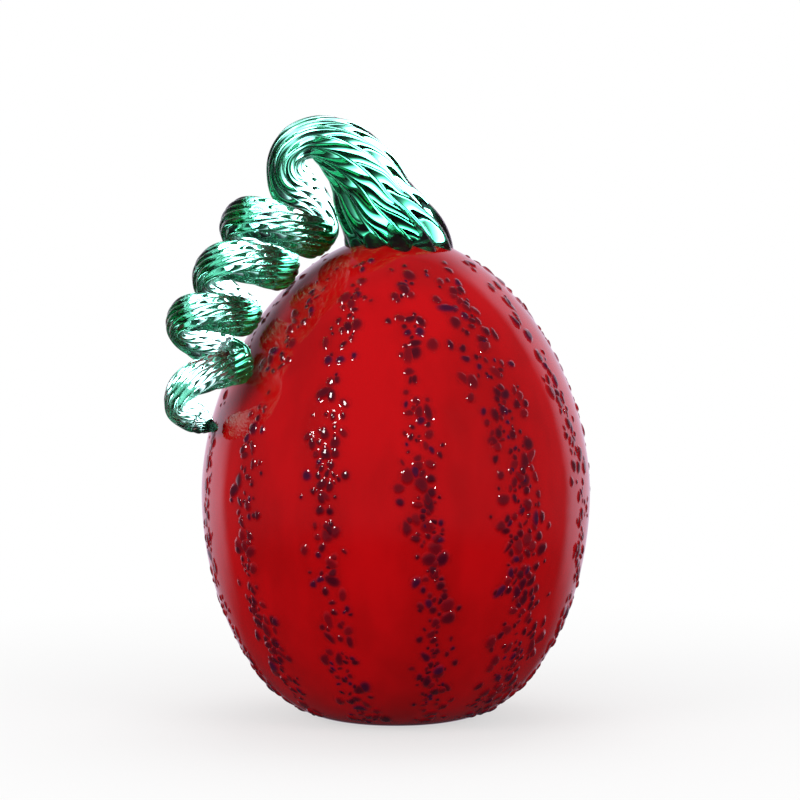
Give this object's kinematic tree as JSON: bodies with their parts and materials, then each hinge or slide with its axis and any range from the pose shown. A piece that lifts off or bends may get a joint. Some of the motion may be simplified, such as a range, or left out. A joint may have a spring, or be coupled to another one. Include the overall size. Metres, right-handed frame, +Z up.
{
  "type": "glass pumpkin",
  "caption": "Hollow blown-glass pumpkin on a flat foot: a tall red body with bumpy stripes of dark frit and a ribbed, twisted green glass stem that hangs in a curl on one side.",
  "frame": {"origin": "on the body's axis, in the plane that the pumpkin stands on", "axes": "+Z up along the body's axis; the curl of the stem hangs at -X, a little to the -Y side"},
  "size_m": [0.1417, 0.1323, 0.2012],
  "materials": {
    "red_glass": "polished, opaque",
    "green_glass": "polished, transparent",
    "frit_glass": "polished, nearly opaque"
  },
  "bodies": {
    "root": {"red_body": "red_glass", "green_stem": "green_glass", "frit_stripe_01": "frit_glass", "frit_stripe_02": "frit_glass", "frit_stripe_03": "frit_glass", "frit_stripe_04": "frit_glass", "frit_stripe_05": "frit_glass", "frit_stripe_06": "frit_glass", "frit_stripe_07": "frit_glass", "frit_stripe_08": "frit_glass", "frit_stripe_09": "frit_glass", "frit_stripe_10": "frit_glass", "frit_stripe_11": "frit_glass", "frit_stripe_12": "frit_glass", "frit_stripe_13": "frit_glass"}
  },
  "joints": []
}
